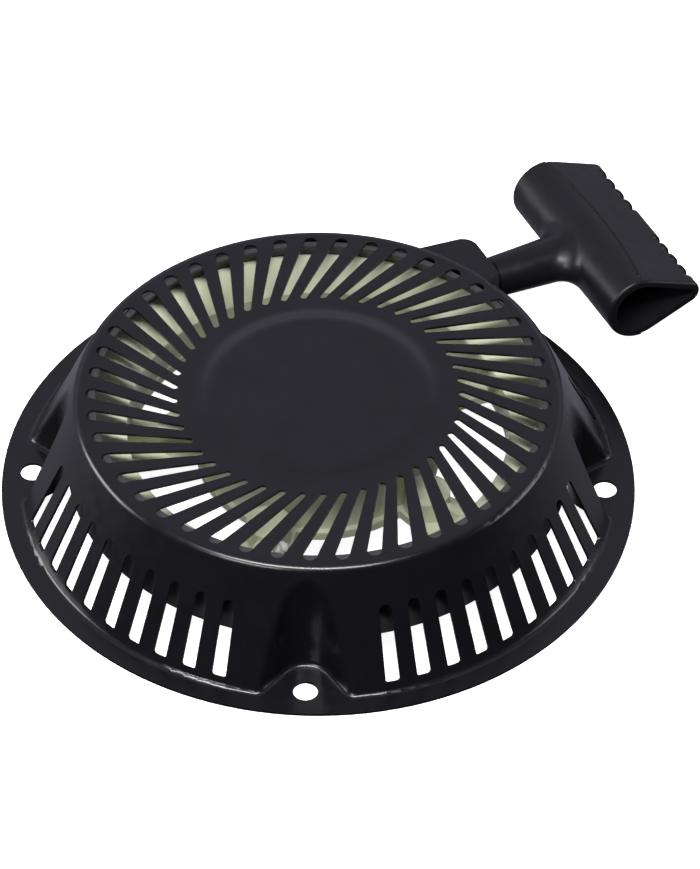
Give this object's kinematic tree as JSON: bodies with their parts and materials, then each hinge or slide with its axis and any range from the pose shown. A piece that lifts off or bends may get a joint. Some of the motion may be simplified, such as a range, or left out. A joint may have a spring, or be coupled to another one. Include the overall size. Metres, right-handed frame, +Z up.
{
  "type": "recoil starter",
  "caption": "Round pressed-steel recoil starter with swirl and side vents, a spring-wound rope reel with pivoting pawls, and a T-shaped pull handle on a braided rope.",
  "frame": {"origin": "centre of the mounting flange's bottom face", "axes": "+Z up along the reel's axis, away from the engine; the bolt holes lie on the X and Y axes; the rope leaves towards +X +Y"},
  "size_m": [0.2364, 0.251, 0.0434],
  "materials": {
    "housing_paint": "black satin paint",
    "shroud_paint": "black matt paint",
    "post_steel": "turned",
    "guide_plastic": "black moulded",
    "zinc_steel": "zinc plated",
    "spring_steel": "blued spring steel",
    "reel_plastic": "ivory moulded, slightly translucent",
    "bush_bronze": "sintered bronze",
    "rope_braid": "braided nylon",
    "pawl_steel": "hardened",
    "pin_steel": "ground",
    "spring_wire": "drawn wire",
    "screw_steel": "zinc plated",
    "handle_plastic": "black moulded satin"
  },
  "bodies": {
    "root": {"housing": "housing_paint", "inner_shroud": "shroud_paint", "centre_post": "post_steel", "rope_guide": "guide_plastic", "guide_retainer": "zinc_steel", "mainspring": "spring_steel", "rope_lead": "rope_braid", "pawl_guide": "zinc_steel", "friction_spring": "spring_wire", "guide_washer": "zinc_steel", "centre_screw": "screw_steel"},
    "reel": {"reel": "reel_plastic", "reel_bush": "bush_bronze", "spring_cover": "zinc_steel", "rope_winding": "rope_braid", "reel_knot": "rope_braid", "pawl_pins": "pin_steel", "pawl_springs": "spring_wire"},
    "pawl_left": {"pawl_left": "pawl_steel"},
    "pawl_right": {"pawl_right": "pawl_steel"},
    "handle": {"handle_grip": "handle_plastic", "handle_washer": "zinc_steel", "handle_knot": "rope_braid", "rope_in_stem": "rope_braid"}
  },
  "joints": [
    {"name": "reel_spin", "type": "hinge", "parent": "root", "child": "reel", "pos_m": [0, 0, 0.02], "axis": [0, 0, -1], "range_deg": [0, 700], "stiffness_Nm_per_rad": 0.03, "springref_deg": -687.55, "deforming": ["mainspring"]},
    {"name": "handle_pull", "type": "slide", "parent": "root", "child": "handle", "axis": [0.8759, 0.4825, 0], "range_m": [0, 0.9]},
    {"name": "pawl_left_swing", "type": "hinge", "parent": "reel", "child": "pawl_left", "pos_m": [0.02, 0, 0.0096], "axis": [0, 0, 1], "range_deg": [0, 28], "stiffness_Nm_per_rad": 0.002, "springref_deg": -28.65},
    {"name": "pawl_right_swing", "type": "hinge", "parent": "reel", "child": "pawl_right", "pos_m": [-0.02, 0, 0.0096], "axis": [0, 0, 1], "range_deg": [0, 28], "stiffness_Nm_per_rad": 0.002, "springref_deg": -28.65}
  ],
  "couplings": [
    {"joint": "handle_pull", "follows": "reel_spin", "m_per_rad": 0.073},
    {"joint": "pawl_right_swing", "follows": "pawl_left_swing", "ratio": 1}
  ]
}
